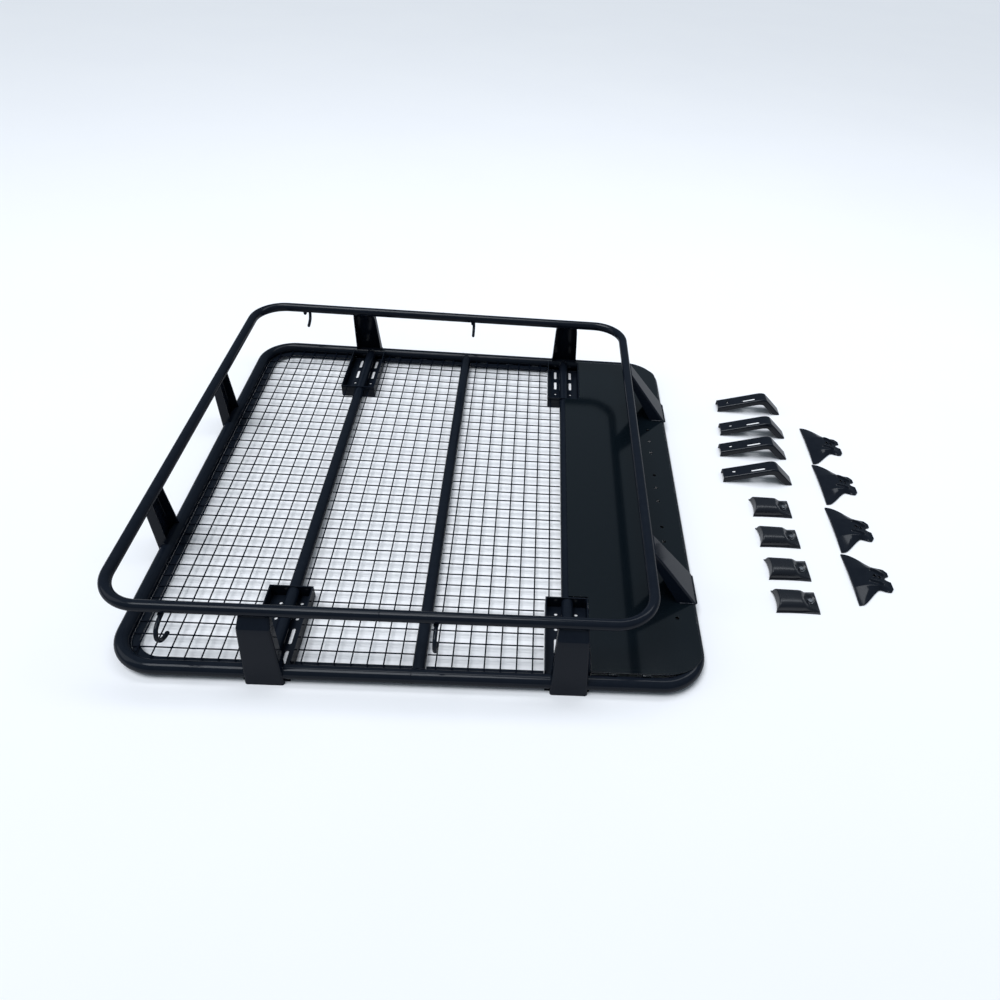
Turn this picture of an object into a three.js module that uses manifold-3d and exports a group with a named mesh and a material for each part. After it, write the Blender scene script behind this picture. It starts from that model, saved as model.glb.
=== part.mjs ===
// Roof cargo basket: a welded tube and mesh tray with a raised rail, laid on the ground
// beside its loose mounting kit (four bent arms, four moulded covers, four gutter clamps).
// Millimetres. +X is the vehicle's front, +Y its left side, +Z up, ground at Z = 0.

import * as THREE from 'three';
import { ConvexGeometry } from 'three/addons/geometries/ConvexGeometry.js';
import { mergeVertices } from 'three/addons/utils/BufferGeometryUtils.js';
import Module from 'manifold-3d';

const wasm = await Module();
wasm.setup();

// ---------------------------------------------------------------- driving dimensions

const GAP = 0.4; // clearance kept where two pieces are welded or rest together
const SHEET = 3; // folded plate thickness

const BASE_X = 628; // base frame centre-line, half length
const BASE_Y = 646; // base frame centre-line, half width
const BASE_Z = 19.5; // height of the base frame's centre-line
const BASE_R = 16; // base tube outer radius
const BASE_WALL = 2;
const BASE_BEND = 90; // centre-line radius of the frame's corners

const RAIL_REAR = -621; // raised rail centre-line, rear run
const RAIL_FRONT = 508; // raised rail centre-line, front run
const RAIL_Y = 615; // raised rail centre-line, half width
const RAIL_Z = 179.5; // height of the raised rail's centre-line
const RAIL_R = 12.5; // raised rail outer radius
const RAIL_WALL = 1.8;
const RAIL_BEND = 88;

const CROSS_X = [-300, 12, 335]; // cross-tube positions along the frame
const CROSS_R = 14;
const CROSS_WALL = 1.8;

const PITCH = 35; // mesh wire spacing
const WIRE_W = 3; // mesh wire width
const WIRE_H = 2.8; // mesh wire height
const LENGTHWISE_Z = 13.4; // underside of the wires that run front to rear
const CROSSWISE_Z = 16.6; // underside of the wires that run side to side
const WIRE_ROWS = 35;
const WIRE_COLUMNS = 8; // crosswise wires in each bay
const TIE_ROWS = [0, 6, 34]; // rows that lie in the upper layer and tie its wires together
const TIE_SLIM = 0.4; // a tie wire is this much slimmer above and below than the wires it joins

const LEDGE_W = 16; // flat strip that carries the mesh inside the frame
const LEDGE_Z = 10;

const TRAY_X = [-304, 333]; // mounting tray centres
const TRAY_W = 100;
const TRAY_INNER = 416; // inboard end of a tray, from the centre plane
const TRAY_H = 36;
const SLOT_X = 24; // slot offset from the tray's centre-line
const SLOT_W = 8;
const SLOT_SPANS = [[515, 560], [577, 622]];
const TRAY_HOLES = [442, 488];

const PANEL_Z = 36; // underside of the front sheet, on top of the tubes
const PANEL_T = 2;
const PANEL_REAR = 337;
const PANEL_FRONT = 634;
const PANEL_Y = 632;
const PANEL_HOLE_R = 4.5;

const SIDE_UPRIGHT_X = [-306, 336];
const REAR_UPRIGHT_Y = [-262, 238];
const UPRIGHT_FOOT = 41; // half width of an upright at the ground
const UPRIGHT_HEAD = 31; // half width of an upright at the rail
const STRUT_Y = 370;
const HOOKS = [[-487, -1], [56, -1], [-487, 1], [36, 1]]; // [x, side]
const HOOK_R = 4.5;
// Hook centre-line as [outboard, down] steps from under the rail.
const HOOK_PROFILE = [[-3, 0], [20, -1], [40, -7], [49, -22], [42, -38], [28, -46], [13, -50]];

const ARM_PLACES = [[833, 466], [822, 337], [805, 230], [795, 109]];
const COVER_PLACES = [[856, -21], [852, -141], [852, -260], [848, -370]];
const CLAMP_PLACES = [[1086, 284], [1080, 99], [1070, -95], [1065, -281]];

// ---------------------------------------------------------------- materials and scene

const paint = new THREE.MeshStandardMaterial({ color: 0x1d2129, roughness: 0.35, metalness: 0.3 });
const panelPaint = new THREE.MeshStandardMaterial({ color: 0x1a2024, roughness: 0.15, metalness: 0.3 });
const plastic = new THREE.MeshStandardMaterial({ color: 0x22242a, roughness: 0.5, metalness: 0.0 });
const zinc = new THREE.MeshStandardMaterial({ color: 0xb4b6b8, roughness: 0.35, metalness: 0.9 });

const basket = new THREE.Group();
basket.name = 'roof_cargo_basket';

// Adds one named piece; turn is its rotation about the vertical, in degrees.
function addPart(name, solid, { material = paint, at = [0, 0, 0], turn = 0 } = {}) {
  const mesh = new THREE.Mesh(toGeometry(solid), material);
  mesh.name = name;
  mesh.position.set(...at);
  mesh.rotation.z = THREE.MathUtils.degToRad(turn);
  basket.add(mesh);
}

// ---------------------------------------------------------------- solid helpers

function toSolid(geometry) {
  const bare = geometry.clone();
  bare.deleteAttribute('normal');
  bare.deleteAttribute('uv');
  const welded = mergeVertices(bare, 1e-4);
  const mesh = new wasm.Mesh({
    numProp: 3,
    vertProperties: new Float32Array(welded.attributes.position.array),
    triVerts: new Uint32Array(welded.index.array),
  });
  return new wasm.Manifold(mesh);
}

function toGeometry(solid) {
  const mesh = solid.getMesh();
  const geometry = new THREE.BufferGeometry();
  geometry.setAttribute('position', new THREE.BufferAttribute(mesh.vertProperties, 3));
  geometry.setIndex(new THREE.BufferAttribute(mesh.triVerts, 1));
  const flat = geometry.toNonIndexed();
  flat.computeVertexNormals();
  return flat;
}

function joined(solids) {
  return solids.reduce((whole, solid) => whole.add(solid));
}

// Axis-aligned block between two opposite corners.
function block([x0, y0, z0], [x1, y1, z1]) {
  const box = new THREE.BoxGeometry(Math.abs(x1 - x0), Math.abs(y1 - y0), Math.abs(z1 - z0));
  box.translate((x0 + x1) / 2, (y0 + y1) / 2, (z0 + z1) / 2);
  return toSolid(box);
}

// Round bar of radius r along the axis 'x', 'y' or 'z', centred on the given point.
function bar(axis, length, r, [x, y, z], segments = 24) {
  const rod = new THREE.CylinderGeometry(r, r, length, segments);
  if (axis === 'x') rod.rotateZ(Math.PI / 2);
  if (axis === 'z') rod.rotateX(Math.PI / 2);
  rod.translate(x, y, z);
  return toSolid(rod);
}

// Smallest convex solid around a list of [x, y, z] points.
function hull(points) {
  return toSolid(new ConvexGeometry(points.map((point) => new THREE.Vector3(...point))));
}

function polygon(points) {
  return new THREE.Shape(points.map(([x, y]) => new THREE.Vector2(x, y)));
}

// Plan outline extruded from z0 up to z1.
function extruded(shape, z0, z1) {
  const options = { depth: z1 - z0, bevelEnabled: false, curveSegments: 2 };
  const geometry = new THREE.ExtrudeGeometry(shape, options);
  geometry.translate(0, 0, z0);
  return toSolid(geometry);
}

// Cutter for a slot with round ends, from y0 to y1 along Y at the given x.
function slotCutter(x, y0, y1, width, z0, z1) {
  const r = width / 2;
  const shape = new THREE.Shape();
  shape.absarc(x, y1 - r, r, 0, Math.PI);
  shape.absarc(x, y0 + r, r, Math.PI, 2 * Math.PI);
  return extruded(shape, z0, z1);
}

// ---------------------------------------------------------------- bent tubes

// Centre-line of one U-shaped half of a rounded rectangle, open towards the split plane.
// dir is +1 for the front half and -1 for the rear half.
function halfLoop(splitX, endX, halfY, bend, dir, steps = 6) {
  const stations = [{ x: splitX, y: -halfY, nx: 0, ny: -1 }];
  for (const side of [-1, 1]) {
    for (let i = 0; i <= steps; i += 1) {
      const t = (side < 0 ? i : steps - i) * (Math.PI / 2 / steps);
      const nx = Math.sin(t) * dir;
      const ny = Math.cos(t) * side;
      stations.push({
        x: endX - dir * bend + nx * bend,
        y: side * (halfY - bend) + ny * bend,
        nx,
        ny,
      });
    }
  }
  stations.push({ x: splitX, y: halfY, nx: 0, ny: 1 });
  return stations;
}

// Hollow tube swept along stations that lie in one level plane. Each station carries the
// outward normal of the loop; turned is true where the stations run clockwise seen from above.
function sweptTube(stations, z, outer, inner, turned, segments = 14) {
  const positions = [];
  const index = [];
  const count = stations.length;
  const ring = (radius) => {
    for (const s of stations) {
      for (let k = 0; k < segments; k += 1) {
        const a = (k / segments) * Math.PI * 2;
        const r = Math.cos(a) * radius;
        positions.push(s.x + s.nx * r, s.y + s.ny * r, z + Math.sin(a) * radius);
      }
    }
  };
  ring(outer);
  ring(inner);
  const at = (layer, i, k) => (layer * count + i) * segments + (k % segments);
  const quad = (a, b, c, d) => {
    if (turned) index.push(a, c, b, a, d, c);
    else index.push(a, b, c, a, c, d);
  };
  for (let k = 0; k < segments; k += 1) {
    for (let i = 0; i < count - 1; i += 1) {
      quad(at(0, i, k), at(0, i + 1, k), at(0, i + 1, k + 1), at(0, i, k + 1));
      quad(at(1, i, k), at(1, i, k + 1), at(1, i + 1, k + 1), at(1, i + 1, k));
    }
    quad(at(0, 0, k), at(0, 0, k + 1), at(1, 0, k + 1), at(1, 0, k));
    const e = count - 1;
    quad(at(0, e, k), at(1, e, k), at(1, e, k + 1), at(0, e, k + 1));
  }
  const geometry = new THREE.BufferGeometry();
  geometry.setAttribute('position', new THREE.Float32BufferAttribute(positions, 3));
  geometry.setIndex(index);
  return toSolid(geometry);
}

function addLoop(name, rearX, frontX, halfY, z, bend, radius, wall) {
  const splitX = (rearX + frontX) / 2;
  const front = halfLoop(splitX + GAP / 2, frontX, halfY, bend, 1);
  const rear = halfLoop(splitX - GAP / 2, rearX, halfY, bend, -1);
  addPart(`${name}_front`, sweptTube(front, z, radius, radius - wall, false));
  addPart(`${name}_rear`, sweptTube(rear, z, radius, radius - wall, true));
}

addLoop('base_frame', -BASE_X, BASE_X, BASE_Y, BASE_Z, BASE_BEND, BASE_R, BASE_WALL);
addLoop('upper_rail', RAIL_REAR, RAIL_FRONT, RAIL_Y, RAIL_Z, RAIL_BEND, RAIL_R, RAIL_WALL);

// ---------------------------------------------------------------- cross-tubes

const crossHalf = BASE_Y - BASE_R - GAP * 1.5;
CROSS_X.forEach((x, i) => {
  const tube = bar('y', 2 * crossHalf, CROSS_R, [x, 0, BASE_Z])
    .subtract(bar('y', 2 * crossHalf + 2, CROSS_R - CROSS_WALL, [x, 0, BASE_Z]));
  addPart(`cross_tube_${i + 1}`, tube);
});

// ---------------------------------------------------------------- ledge strips

const ledgeOuterY = BASE_Y - BASE_R - GAP;
const ledgeInnerY = ledgeOuterY - LEDGE_W;

function cornerArc(cx, cy, r, from, to, steps = 6) {
  const points = [];
  for (let i = 0; i <= steps; i += 1) {
    const a = THREE.MathUtils.degToRad(from + ((to - from) * i) / steps);
    points.push([cx + r * Math.cos(a), cy + r * Math.sin(a)]);
  }
  return points;
}

function rearLedge() {
  const cx = -BASE_X + BASE_BEND;
  const cy = BASE_Y - BASE_BEND;
  const outer = BASE_BEND - BASE_R - GAP;
  const inner = outer - LEDGE_W;
  const end = TRAY_X[0] - TRAY_W / 2 - 1;
  const outline = [
    [end, ledgeInnerY],
    [end, ledgeOuterY],
    ...cornerArc(cx, cy, outer, 90, 180),
    ...cornerArc(cx, -cy, outer, 180, 270),
    [end, -ledgeOuterY],
    [end, -ledgeInnerY],
    ...cornerArc(cx, -cy, inner, 270, 180),
    ...cornerArc(cx, cy, inner, 180, 90),
  ];
  return extruded(polygon(outline), LEDGE_Z, LEDGE_Z + SHEET);
}

addPart('ledge_rear', rearLedge());

const ledgeSpans = [
  ['middle', TRAY_X[0] + TRAY_W / 2 + 1, CROSS_X[1] - CROSS_R - 1],
  ['front', CROSS_X[1] + CROSS_R + 1, TRAY_X[1] - TRAY_W / 2 - 1],
];
for (const [bay, x0, x1] of ledgeSpans) {
  for (const [side, sign] of [['right', -1], ['left', 1]]) {
    const strip = block([x0, sign * ledgeInnerY, LEDGE_Z], [x1, sign * ledgeOuterY, LEDGE_Z + SHEET]);
    addPart(`ledge_${side}_${bay}`, strip);
  }
}

// ---------------------------------------------------------------- welded mesh

// Each sheet has a lower layer of lengthwise wires, tied by one wire near their free ends, and
// an upper layer of crosswise wires, tied by a few rows. The wire beside the trays stops short.
const wireReach = TRAY_INNER - 2;
const fullReach = BASE_Y - BASE_R - 1.5;
const rearX = -BASE_X + BASE_R + 1.5;
const tieInset = 6; // from the ends of the lengthwise wires to their tie wire
const sheets = [
  {
    name: 'rear', firstColumn: -587, trayColumn: 7, firstRow: -591,
    x0: rearX, x1: CROSS_X[0] - CROSS_R - 1,
    tieX: rearX + tieInset, tieHalf: BASE_Y - BASE_BEND + 10,
    trayX: TRAY_X[0] - TRAY_W / 2 - 2, trayAhead: true,
  },
  {
    name: 'middle', firstColumn: -274, trayColumn: 0, firstRow: -584,
    x0: CROSS_X[0] + CROSS_R + 1, x1: CROSS_X[1] - CROSS_R - 1,
    tieX: CROSS_X[1] - CROSS_R - 1 - tieInset, tieHalf: 580,
    trayX: TRAY_X[0] + TRAY_W / 2 + 2, trayAhead: false,
  },
  {
    name: 'front', firstColumn: 47, trayColumn: 7, firstRow: -584,
    x0: CROSS_X[1] + CROSS_R + 1, x1: CROSS_X[2] - CROSS_R - 1,
    tieX: CROSS_X[1] + CROSS_R + 1 + tieInset, tieHalf: 580,
    trayX: TRAY_X[1] - TRAY_W / 2 - 2, trayAhead: true,
  },
];

// How far a rear wire can run before it meets the rounded corner of the frame.
function cornerReach(offset, straight, limit) {
  const inner = BASE_BEND - BASE_R - 1.5;
  const into = Math.abs(offset) - straight;
  if (into <= 0) return limit;
  return limit - inner + Math.sqrt(Math.max(inner * inner - (into + WIRE_W / 2) ** 2, 0));
}

// Where a lengthwise wire at the given y starts and ends.
function wireSpan(sheet, y) {
  let { x0, x1 } = sheet;
  const besideTray = Math.abs(y) > wireReach - WIRE_W / 2;
  if (besideTray && sheet.trayAhead) x1 = sheet.trayX;
  if (besideTray && !sheet.trayAhead) x0 = sheet.trayX;
  if (sheet.name === 'rear') x0 = Math.max(x0, -cornerReach(y, BASE_Y - BASE_BEND, -rearX));
  return [x0, x1];
}

function crosswiseReach(sheet, x, k) {
  if (k === sheet.trayColumn) return wireReach;
  if (sheet.name === 'rear') return cornerReach(x, BASE_X - BASE_BEND, fullReach);
  return fullReach;
}

const wireHalf = WIRE_W / 2;
const lengthwise = (sheet, i, z0, z1) => {
  const y = sheet.firstRow + i * PITCH;
  const [x0, x1] = wireSpan(sheet, y);
  return block([x0, y - wireHalf, z0], [x1, y + wireHalf, z1]);
};
const crosswise = (x, reach, z0, z1) => block([x - wireHalf, -reach, z0], [x + wireHalf, reach, z1]);
const slimmed = (z) => [z + TIE_SLIM, z + WIRE_H - TIE_SLIM];

for (const sheet of sheets) {
  const lower = [crosswise(sheet.tieX, sheet.tieHalf, ...slimmed(LENGTHWISE_Z))];
  const upper = TIE_ROWS.map((i) => lengthwise(sheet, i, ...slimmed(CROSSWISE_Z)));
  for (let i = 0; i < WIRE_ROWS; i += 1) {
    if (!TIE_ROWS.includes(i)) lower.push(lengthwise(sheet, i, LENGTHWISE_Z, LENGTHWISE_Z + WIRE_H));
  }
  for (let k = 0; k < WIRE_COLUMNS; k += 1) {
    const x = sheet.firstColumn + k * PITCH;
    const reach = crosswiseReach(sheet, x, k);
    upper.push(crosswise(x, reach, CROSSWISE_Z, CROSSWISE_Z + WIRE_H));
  }
  addPart(`mesh_${sheet.name}_lengthwise`, joined(lower));
  addPart(`mesh_${sheet.name}_crosswise`, joined(upper));
}

// ---------------------------------------------------------------- front sheet

function frontPanel() {
  const bendX = 96;
  const bendY = 62;
  const notchX = TRAY_X[1] + TRAY_W / 2 + GAP;
  const notchY = TRAY_INNER - 2;
  const corner = (side, from, to) => cornerArc(0, 0, 1, from, to, 6).map(([c, s]) => [
    PANEL_FRONT - bendX + bendX * c,
    side * (PANEL_Y - bendY) + bendY * s,
  ]);
  const outline = [
    [PANEL_REAR, -notchY],
    [notchX, -notchY],
    [notchX, -PANEL_Y],
    ...corner(-1, 270, 360),
    ...corner(1, 0, 90),
    [notchX, PANEL_Y],
    [notchX, notchY],
    [PANEL_REAR, notchY],
  ];
  const holes = [[590, -468], [590, 468]];
  for (const group of [-213, 0, 213]) {
    for (const step of [-55, 0, 55]) holes.push([585, group + step]);
  }
  const cutters = holes.map(([x, y]) => bar('z', 10, PANEL_HOLE_R, [x, y, PANEL_Z], 8));
  return extruded(polygon(outline), PANEL_Z, PANEL_Z + PANEL_T).subtract(joined(cutters));
}

addPart('front_panel', frontPanel(), { material: panelPaint });

// ---------------------------------------------------------------- uprights

// Plate of even thickness between a lower and an upper edge of given half widths.
// Points are [outward, height]; the plate's inner skin is offset along the inward normal.
function leaningPlate([v0, z0], [v1, z1], half0, half1, thickness) {
  const length = Math.hypot(v1 - v0, z1 - z0);
  const nv = (-(z1 - z0) / length) * thickness;
  const nz = ((v1 - v0) / length) * thickness;
  const corners = [];
  for (const side of [-1, 1]) {
    corners.push([side * half0, v0, z0], [side * half0, v0 + nv, z0 + nz]);
    corners.push([side * half1, v1, z1], [side * half1, v1 + nv, z1 + nz]);
  }
  return hull(corners);
}

// Folded channel whose web follows the profile points and whose flanges turn inwards.
// The local frame is [along the rail, outward, up]; widths and depths go with the points.
function foldedChannel(profile, halves, depths) {
  const solids = [];
  for (let i = 0; i < profile.length - 1; i += 1) {
    solids.push(leaningPlate(profile[i], profile[i + 1], halves[i], halves[i + 1], SHEET));
    for (const side of [-1, 1]) {
      const corners = [];
      for (const j of [i, i + 1]) {
        const [v, z] = profile[j];
        const outerSkin = side * halves[j];
        const innerSkin = side * (halves[j] - SHEET);
        for (const u of [outerSkin, innerSkin]) {
          corners.push([u, v, z], [u, v - depths[j], z]);
        }
      }
      solids.push(hull(corners));
    }
  }
  return joined(solids);
}

// Upright in its local frame: outward distances are from the base tube's centre-line.
function upright(railInset) {
  const foot = BASE_R + 6;
  const knee = -railInset + RAIL_R + 17;
  const head = -railInset + 9;
  const profile = [[foot, 0], [knee, 150], [head, RAIL_Z - 10]];
  const body = foldedChannel(profile, [UPRIGHT_FOOT, 34, UPRIGHT_HEAD], [28, 24, 12]);
  const around = 4 * UPRIGHT_FOOT;
  return body
    .subtract(bar('x', around, BASE_R + GAP, [0, 0, BASE_Z], 24))
    .subtract(block([-around, -60, -1], [around, BASE_R - 2, BASE_Z]))
    .subtract(block([-around, -60, -20], [around, 60, 0]))
    .subtract(bar('x', around, RAIL_R + GAP, [0, -railInset, RAIL_Z], 24));
}

SIDE_UPRIGHT_X.forEach((x, i) => {
  const place = ['rear', 'front'][i];
  addPart(`upright_left_${place}`, upright(BASE_Y - RAIL_Y), { at: [x, BASE_Y, 0] });
  addPart(`upright_right_${place}`, upright(BASE_Y - RAIL_Y), { at: [x, -BASE_Y, 0], turn: 180 });
});

REAR_UPRIGHT_Y.forEach((y, i) => {
  const side = ['right', 'left'][i];
  addPart(`upright_rear_${side}`, upright(BASE_X + RAIL_REAR), { at: [-BASE_X, y, 0], turn: 90 });
});

// Front strut, leaning forward from the rail to the front of the base frame.
function frontStrut() {
  const top = [RAIL_FRONT - BASE_X + RAIL_R + 3, RAIL_Z - 1];
  const bottom = [BASE_R - 1.5, BASE_Z + 14];
  const around = 400;
  return foldedChannel([bottom, top], [52, 32], [44, 20])
    .subtract(bar('x', around, BASE_R + GAP, [0, 0, BASE_Z], 32))
    .subtract(block([-200, -200, 0], [200, 8.5, PANEL_Z + PANEL_T + GAP]))
    .subtract(bar('x', around, RAIL_R + GAP, [0, RAIL_FRONT - BASE_X, RAIL_Z], 32));
}

for (const [side, sign] of [['right', -1], ['left', 1]]) {
  addPart(`front_strut_${side}`, frontStrut(), { at: [BASE_X, sign * STRUT_Y, 0], turn: -90 });
}

// ---------------------------------------------------------------- mounting trays

// Open tray under one end of a cross-tube, slotted for the roof feet. In its own frame +Y is
// outboard from the centre plane, and tubeX is the cross-tube's offset from the tray's middle.
function mountingTray(tubeX) {
  const half = TRAY_W / 2;
  const end = BASE_Y - BASE_R - GAP * 1.5;
  const plates = [
    block([-half, TRAY_INNER, 0], [half, BASE_Y + 11, SHEET]),
    block([-half, TRAY_INNER, 0], [-half + SHEET, end, TRAY_H]),
    block([half - SHEET, TRAY_INNER, 0], [half, end, TRAY_H]),
    block([-half, TRAY_INNER, 0], [half, TRAY_INNER + SHEET, TRAY_H]),
  ];
  const cutters = [bar('y', 60, CROSS_R + GAP, [tubeX, TRAY_INNER, BASE_Z])];
  for (const x of [-SLOT_X, SLOT_X]) {
    for (const [y0, y1] of SLOT_SPANS) cutters.push(slotCutter(x, y0, y1, SLOT_W, -1, SHEET + 1));
    for (const y of TRAY_HOLES) cutters.push(bar('z', 10, SLOT_W / 2, [x, y, 0], 8));
  }
  return joined(plates).subtract(joined(cutters));
}

TRAY_X.forEach((x, i) => {
  const place = ['rear', 'front'][i];
  const tubeX = [CROSS_X[0], CROSS_X[2]][i] - x;
  addPart(`mount_tray_left_${place}`, mountingTray(tubeX), { at: [x, 0, 0] });
  addPart(`mount_tray_right_${place}`, mountingTray(-tubeX), { at: [x, 0, 0], turn: 180 });
});

// ---------------------------------------------------------------- tie-down hooks

// Bent rod welded under the rail; in its own frame +Y is outboard of the rail.
function tieHook() {
  const path = new THREE.CatmullRomCurve3(
    HOOK_PROFILE.map(([out, down]) => new THREE.Vector3(0, out, down)),
  );
  const section = new THREE.Shape().absarc(0, 0, HOOK_R, 0, 2 * Math.PI);
  const options = { steps: 12, extrudePath: path, bevelEnabled: false, curveSegments: 4 };
  return toSolid(new THREE.ExtrudeGeometry(section, options));
}

HOOKS.forEach(([x, side], i) => {
  const top = RAIL_Z - RAIL_R - HOOK_R - GAP;
  const turn = side > 0 ? 0 : 180;
  addPart(`tie_hook_${i + 1}`, tieHook(), { at: [x, side * RAIL_Y, top], turn });
});

// ---------------------------------------------------------------- kit: bent arms

const ARM_W = 44; // arm width
const ARM_RUN = 146; // length along the ground of the sloping flat
const ARM_START = 16; // height of the plain end's top face
const ARM_TOP = 56; // height of the bend
const ARM_TIP = 204; // length over all, to the tip of the leg
const ARM_SLOT = { x0: 76, x1: 114, y: -9, half: 3.5 }; // adjusting slot along the arm
const HOLE_R = 4.5; // bolt holes in the arms and clamps

// Channel arm that rests on its plain end and on the tip of its turned-down leg.
function bentArm() {
  const half = ARM_W / 2;
  const across = (points) => hull(points.flatMap(([x, z]) => [[x, -half, z], [x, half, z]]));
  const flat = across([
    [0, ARM_START], [ARM_RUN, ARM_TOP], [ARM_RUN, ARM_TOP - SHEET], [0, ARM_START - SHEET],
  ]);
  const leg = across([[ARM_RUN, ARM_TOP], [ARM_TIP, 0.8], [ARM_TIP - 4, 0], [ARM_RUN - 3, ARM_TOP - SHEET]]);
  const flange = new THREE.ExtrudeGeometry(polygon([
    [0, 0], [6, 0], [ARM_RUN - 8, ARM_TOP - 19], [ARM_TIP - 19, 0], [ARM_TIP - 1, 0], [ARM_TIP, 0.8],
    [ARM_RUN, ARM_TOP], [0, ARM_START],
  ]), { depth: SHEET, bevelEnabled: false });
  flange.rotateX(Math.PI / 2);
  const nearFlange = toSolid(flange.clone().translate(0, SHEET - half, 0));
  const farFlange = toSolid(flange.translate(0, half, 0));
  const { x0, x1, y, half: slotHalf } = ARM_SLOT;
  return joined([flat, leg, nearFlange, farFlange])
    .subtract(block([x0, y - slotHalf, 20], [x1, y + slotHalf, 60]))
    .subtract(bar('z', 60, HOLE_R, [30, 0, 20], 12));
}

ARM_PLACES.forEach(([x, y], i) => {
  addPart(`roof_arm_${i + 1}`, bentArm(), { at: [x, y, 0] });
});

// ---------------------------------------------------------------- kit: moulded covers

const COVER_L = 110;
const COVER_W = 72;
const COVER_H = 25;
const COVER_WALL = 2.5;
const POCKET_X = 90; // centre of the bolt pocket along the cover

// Rounded hood with a crown on its flat part and a slope down to the bolt end. The inset
// shrinks it all round, and base is the height of its underside.
function coverForm(inset, base) {
  const sections = [[0, 1], [6, 1], [74, 1], [96, 0.72], [COVER_L, 0.4]];
  const corners = [];
  for (const [x, share] of sections) {
    const h = COVER_H * share - inset;
    const w = COVER_W / 2 - inset;
    const along = THREE.MathUtils.clamp(x, inset, COVER_L - inset);
    const ring = [[w, base], [w, h * 0.35], [w - 5, h * 0.75], [w - 14, h]];
    for (const [y, z] of ring) corners.push([along, y, z], [along, -y, z]);
  }
  return hull(corners);
}

const pocketZ = COVER_H * 0.62;

function mouldedCover() {
  return coverForm(0, 0)
    .subtract(coverForm(COVER_WALL, -1))
    .add(bar('z', 11, 13, [POCKET_X, 0, pocketZ - 4.5], 14).intersect(coverForm(0, 0)))
    .subtract(bar('z', 20, 10, [POCKET_X, 0, pocketZ + 8], 14))
    .subtract(bar('z', 60, 4, [POCKET_X, 0, 0], 10));
}

function coverBolt() {
  const head = bar('z', 4, 6.5, [POCKET_X, 0, pocketZ + 0.4], 6);
  const shank = bar('z', 12, 3.6, [POCKET_X, 0, pocketZ - 6], 10);
  return head.add(shank);
}

COVER_PLACES.forEach(([x, y], i) => {
  addPart(`foot_cover_${i + 1}`, mouldedCover(), { material: plastic, at: [x, y, 0] });
  addPart(`cover_bolt_${i + 1}`, coverBolt(), { material: zinc, at: [x, y, 0] });
});

// ---------------------------------------------------------------- kit: gutter clamps

const CLAMP_T = 3.5;
const CLAMP_RISE = 11; // height of the pressed crown above the edges
// Stations along the clamp: [x, near edge, near fold, far fold, far edge, share of the rise].
const CLAMP_STATIONS = [
  [0, -91, -23, 30, 88, 0],
  [14, -88, -25, 30, 86, 0.45],
  [28, -76, -27, 30, 79, 0.8],
  [42, -61, -30, 30, 68, 1],
  [54, -48, -31, 30, 56, 1],
  [68, -37, -30, 28, 45, 0.9],
  [84, -41, -28, 26, 40, 0.45],
  [98, -42, -26, 22, 36, 0],
  [106, -32, -22, 16, 26, 0],
];
const CLAMP_RIBS = [[[58, 25], [92, 15]], [[47, -13], [78, -22]]]; // plan of each rib's centre-line
const CLAMP_HOLES = [[62, 3], [75, 1]];

// Sheet of even upright thickness under a grid of points; each row has the same number.
function sheetSolid(rows, thickness) {
  const columns = rows[0].length;
  const top = rows.flat();
  const points = [...top, ...top.map(([x, y, z]) => [x, y, z - thickness])];
  const under = (n) => n + top.length;
  const index = [];
  const quad = (a, b, c, d) => index.push(a, b, c, a, c, d);
  const wall = (a, b) => quad(a, under(a), under(b), b);
  for (let i = 0; i < rows.length - 1; i += 1) {
    for (let k = 0; k < columns - 1; k += 1) {
      const n = i * columns + k;
      quad(n, n + columns, n + columns + 1, n + 1);
      quad(under(n), under(n + 1), under(n + columns + 1), under(n + columns));
    }
    wall(i * columns, (i + 1) * columns);
    wall((i + 2) * columns - 1, (i + 1) * columns - 1);
  }
  for (let k = 0; k < columns - 1; k += 1) {
    wall(k + 1, k);
    wall(top.length - columns + k, top.length - columns + k + 1);
  }
  const geometry = new THREE.BufferGeometry();
  geometry.setAttribute('position', new THREE.Float32BufferAttribute(points.flat(), 3));
  geometry.setIndex(index);
  return toSolid(geometry);
}

function gutterClamp() {
  const rows = CLAMP_STATIONS.map(([x, near, nearFold, farFold, far, share]) => {
    const crown = CLAMP_T + CLAMP_RISE * share;
    return [[x, near, CLAMP_T], [x, nearFold, crown], [x, farFold, crown], [x, far, CLAMP_T]];
  });
  const ribs = CLAMP_RIBS.map(([[x0, y0], [x1, y1]]) => hull([-3, 3].flatMap((w) => [
    [x0, y0 + w, CLAMP_T + 4], [x0, y0 + w * 0.6, CLAMP_T + CLAMP_RISE + 5],
    [x1, y1 + w, 1], [x1, y1 + w * 0.6, CLAMP_T + 4],
  ])));
  const notch = extruded(polygon([[94, 8], [92, 0], [112, -12], [112, 16]]), -1, 30);
  const holes = CLAMP_HOLES.map(([x, y]) => bar('z', 60, HOLE_R, [x, y, 10], 10));
  return joined([sheetSolid(rows, CLAMP_T), ...ribs]).subtract(joined([notch, ...holes]));
}

CLAMP_PLACES.forEach(([x, y], i) => {
  addPart(`gutter_clamp_${i + 1}`, gutterClamp(), { at: [x, y, 0] });
});

// ---------------------------------------------------------------- origin

// The origin is on the ground, under the middle of the whole set.
const extent = new THREE.Box3().setFromObject(basket);
const centre = extent.getCenter(new THREE.Vector3());
basket.position.set(-centre.x, -centre.y, -extent.min.z);

export default basket;
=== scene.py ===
"""Roof cargo basket with its loose mounting kit: surfaces, finishes and studio.

Dimensions are millimetres in the basket's own frame; placed() turns them into the shared frame
in metres. +X is the vehicle's front, +Y its left side, +Z up.
"""

import math
import random

import bmesh
import bpy
from mathutils import Matrix, Vector


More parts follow.
